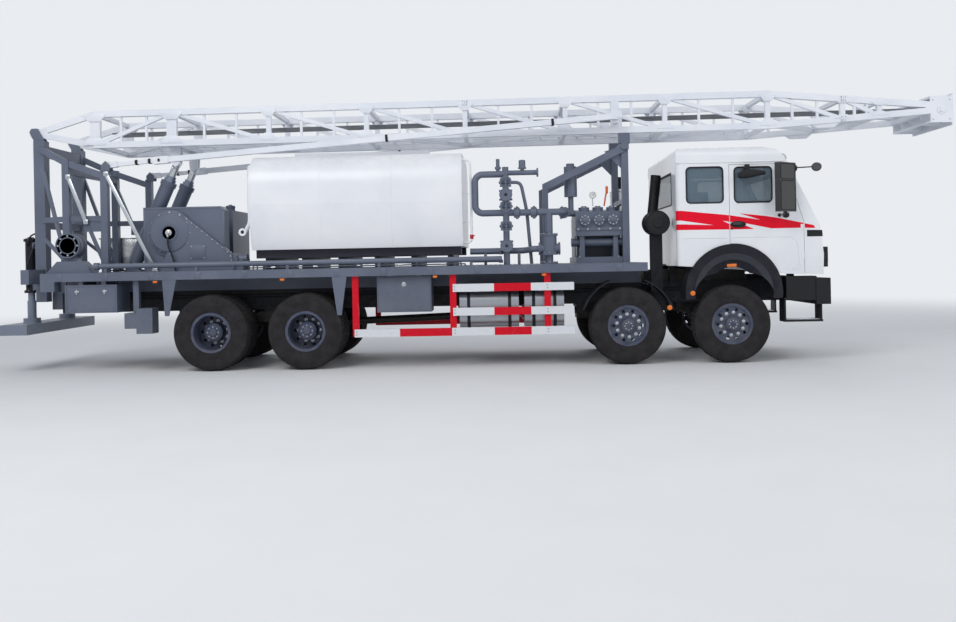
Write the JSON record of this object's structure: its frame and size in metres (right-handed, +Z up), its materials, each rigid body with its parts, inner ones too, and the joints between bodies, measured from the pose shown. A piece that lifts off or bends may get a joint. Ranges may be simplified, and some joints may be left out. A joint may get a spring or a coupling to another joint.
{
  "type": "truck-mounted flush-by rig",
  "caption": "Truck-mounted flush-by rig: 8x4 carrier with a lattice mast that raises over its tail, water tank, triplex pump and drawworks.",
  "frame": {"origin": "on the ground, at the middle of the overall length and width", "axes": "+X forward, +Y to the vehicle's left, +Z up"},
  "size_m": [13.81, 3.113, 3.8898],
  "materials": {
    "tyre_rubber": "matt moulded rubber",
    "wheel_enamel": "semi-gloss blue-grey enamel on pressed steel",
    "chassis_black": "satin near-black chassis paint",
    "machine_grey": "satin blue-grey machine paint",
    "cab_white": "gloss white cab enamel",
    "mast_white": "semi-gloss white paint on steel tube",
    "tank_white": "gloss white paint on rolled plate",
    "guard_stripe": "red and white gloss paint",
    "hard_chrome": "ground hard chrome",
    "cab_glass": "toughened glass",
    "cab_trim": "moulded plastic and woven seat cloth",
    "bumper_plastic": "grained black moulding",
    "tank_aluminium": "brushed sheet aluminium",
    "forged_steel": "oily black forged and cast steel"
  },
  "bodies": {
    "root": {"bumper": "bumper_plastic", "cab_glass": "cab_glass", "cab_interior": "cab_trim", "cab_roof": "cab_white", "cab_shell": "cab_white", "chassis_frame": "chassis_black", "deck": "machine_grey", "drawworks": "machine_grey", "engine": "forged_steel", "engine_gear": "machine_grey", "front_axles": "forged_steel", "front_rest": "machine_grey", "fuel_tanks": "tank_aluminium", "grille": "bumper_plastic", "hydraulic_tank": "machine_grey", "leaf_springs": "forged_steel", "mudguards": "chassis_black", "pipework": "machine_grey", "plunger_pump": "machine_grey", "rear_axles": "forged_steel", "rear_frame": "machine_grey", "side_guards": "guard_stripe", "tank_cradle": "chassis_black", "tool_boxes": "machine_grey", "water_tank": "tank_white"},
    "wheel_1_right": {"tyre_1_right": "tyre_rubber", "rim_1_right": "wheel_enamel"},
    "knuckle_1_right": {"knuckle_1_right": "forged_steel"},
    "wheel_1_left": {"tyre_1_left": "tyre_rubber", "rim_1_left": "wheel_enamel"},
    "knuckle_1_left": {"knuckle_1_left": "forged_steel"},
    "wheel_2_right": {"tyre_2_right": "tyre_rubber", "rim_2_right": "wheel_enamel"},
    "knuckle_2_right": {"knuckle_2_right": "forged_steel"},
    "wheel_2_left": {"tyre_2_left": "tyre_rubber", "rim_2_left": "wheel_enamel"},
    "knuckle_2_left": {"knuckle_2_left": "forged_steel"},
    "wheel_3_right": {"tyre_3_right": "tyre_rubber", "rim_3_right": "wheel_enamel"},
    "wheel_3_left": {"tyre_3_left": "tyre_rubber", "rim_3_left": "wheel_enamel"},
    "wheel_4_right": {"tyre_4_right": "tyre_rubber", "rim_4_right": "wheel_enamel"},
    "wheel_4_left": {"tyre_4_left": "tyre_rubber", "rim_4_left": "wheel_enamel"},
    "door_right": {"door_right": "cab_white", "door_glass_right": "cab_glass"},
    "door_left": {"door_left": "cab_white", "door_glass_left": "cab_glass"},
    "mast": {"mast_right": "mast_white", "mast_left": "mast_white", "mast_bracing": "mast_white", "crown_block": "mast_white"},
    "strut_rods": {"strut_rods": "mast_white"},
    "strut_tubes": {"strut_tubes": "mast_white"},
    "lift_barrels": {"lift_barrels": "machine_grey"},
    "lift_stage_1": {"lift_stage_1": "hard_chrome"},
    "lift_stage_2": {"lift_stage_2": "hard_chrome"},
    "lift_rods": {"lift_rods": "hard_chrome"},
    "jack_beam": {"jack_beam": "machine_grey"}
  },
  "joints": [
    {"name": "steer_1_right", "type": "hinge", "parent": "root", "child": "knuckle_1_right", "pos_m": [3.535, -0.905, 0.545], "axis": [0, 0, 1], "range_deg": [-32, 32]},
    {"name": "spin_1_right", "type": "hinge", "parent": "knuckle_1_right", "child": "wheel_1_right", "pos_m": [3.535, -1.07, 0.545], "axis": [0, 1, 0], "continuous": true},
    {"name": "steer_1_left", "type": "hinge", "parent": "root", "child": "knuckle_1_left", "pos_m": [3.535, 0.905, 0.545], "axis": [0, 0, 1], "range_deg": [-32, 32]},
    {"name": "spin_1_left", "type": "hinge", "parent": "knuckle_1_left", "child": "wheel_1_left", "pos_m": [3.535, 1.07, 0.545], "axis": [0, 1, 0], "continuous": true},
    {"name": "steer_2_right", "type": "hinge", "parent": "root", "child": "knuckle_2_right", "pos_m": [2.085, -0.905, 0.545], "axis": [0, 0, 1], "range_deg": [-24, 24]},
    {"name": "spin_2_right", "type": "hinge", "parent": "knuckle_2_right", "child": "wheel_2_right", "pos_m": [2.085, -1.07, 0.545], "axis": [0, 1, 0], "continuous": true},
    {"name": "steer_2_left", "type": "hinge", "parent": "root", "child": "knuckle_2_left", "pos_m": [2.085, 0.905, 0.545], "axis": [0, 0, 1], "range_deg": [-24, 24]},
    {"name": "spin_2_left", "type": "hinge", "parent": "knuckle_2_left", "child": "wheel_2_left", "pos_m": [2.085, 1.07, 0.545], "axis": [0, 1, 0], "continuous": true},
    {"name": "spin_3_right", "type": "hinge", "parent": "root", "child": "wheel_3_right", "pos_m": [-2.465, -1.07, 0.545], "axis": [0, 1, 0], "continuous": true},
    {"name": "spin_3_left", "type": "hinge", "parent": "root", "child": "wheel_3_left", "pos_m": [-2.465, 1.07, 0.545], "axis": [0, 1, 0], "continuous": true},
    {"name": "spin_4_right", "type": "hinge", "parent": "root", "child": "wheel_4_right", "pos_m": [-3.815, -1.07, 0.545], "axis": [0, 1, 0], "continuous": true},
    {"name": "spin_4_left", "type": "hinge", "parent": "root", "child": "wheel_4_left", "pos_m": [-3.815, 1.07, 0.545], "axis": [0, 1, 0], "continuous": true},
    {"name": "door_swing_right", "type": "hinge", "parent": "root", "child": "door_right", "pos_m": [4.542, -1.224, 2], "axis": [0, 0, 1], "range_deg": [0, 70]},
    {"name": "door_swing_left", "type": "hinge", "parent": "root", "child": "door_left", "pos_m": [4.542, 1.224, 2], "axis": [0, 0, -1], "range_deg": [0, 70]},
    {"name": "mast_raise", "type": "hinge", "parent": "root", "child": "mast", "pos_m": [-6.57, 0, 3.514], "axis": [0, -1, 0], "range_deg": [0, 90]},
    {"name": "strut_swing", "type": "hinge", "parent": "root", "child": "strut_rods", "pos_m": [-5.402, 0, 2.992], "axis": [0, -1, 0], "range_deg": [0, 93.26]},
    {"name": "strut_slide", "type": "slide", "parent": "strut_rods", "child": "strut_tubes", "axis": [0.9973, 0, 0.0733], "range_m": [0, 1.7481]},
    {"name": "lift_swing", "type": "hinge", "parent": "root", "child": "lift_barrels", "pos_m": [-5.225, 0, 1.5], "axis": [0, -1, 0], "range_deg": [0, 36.42]},
    {"name": "lift_slide_1", "type": "slide", "parent": "lift_barrels", "child": "lift_stage_1", "axis": [0.4109, 0, 0.9117], "range_m": [0, 0.819]},
    {"name": "lift_slide_2", "type": "slide", "parent": "lift_stage_1", "child": "lift_stage_2", "axis": [0.4109, 0, 0.9117], "range_m": [0, 0.819]},
    {"name": "lift_slide_3", "type": "slide", "parent": "lift_stage_2", "child": "lift_rods", "axis": [0.4109, 0, 0.9117], "range_m": [0, 0.819]},
    {"name": "jack_lower", "type": "slide", "parent": "root", "child": "jack_beam", "axis": [0, 0, -1], "range_m": [0, 0.545]}
  ],
  "couplings": [
    {"joint": "steer_1_left", "follows": "steer_1_right", "ratio": 1},
    {"joint": "steer_2_right", "follows": "steer_1_right", "ratio": 0.75},
    {"joint": "steer_2_left", "follows": "steer_1_right", "ratio": 0.75},
    {"joint": "strut_swing", "follows": "mast_raise", "ratio": 1.0361},
    {"joint": "strut_slide", "follows": "mast_raise", "m_per_rad": 1.1125},
    {"joint": "lift_swing", "follows": "mast_raise", "ratio": 0.4046},
    {"joint": "lift_slide_1", "follows": "mast_raise", "m_per_rad": 0.52108},
    {"joint": "lift_slide_2", "follows": "mast_raise", "m_per_rad": 0.52108},
    {"joint": "lift_slide_3", "follows": "mast_raise", "m_per_rad": 0.52108}
  ]
}
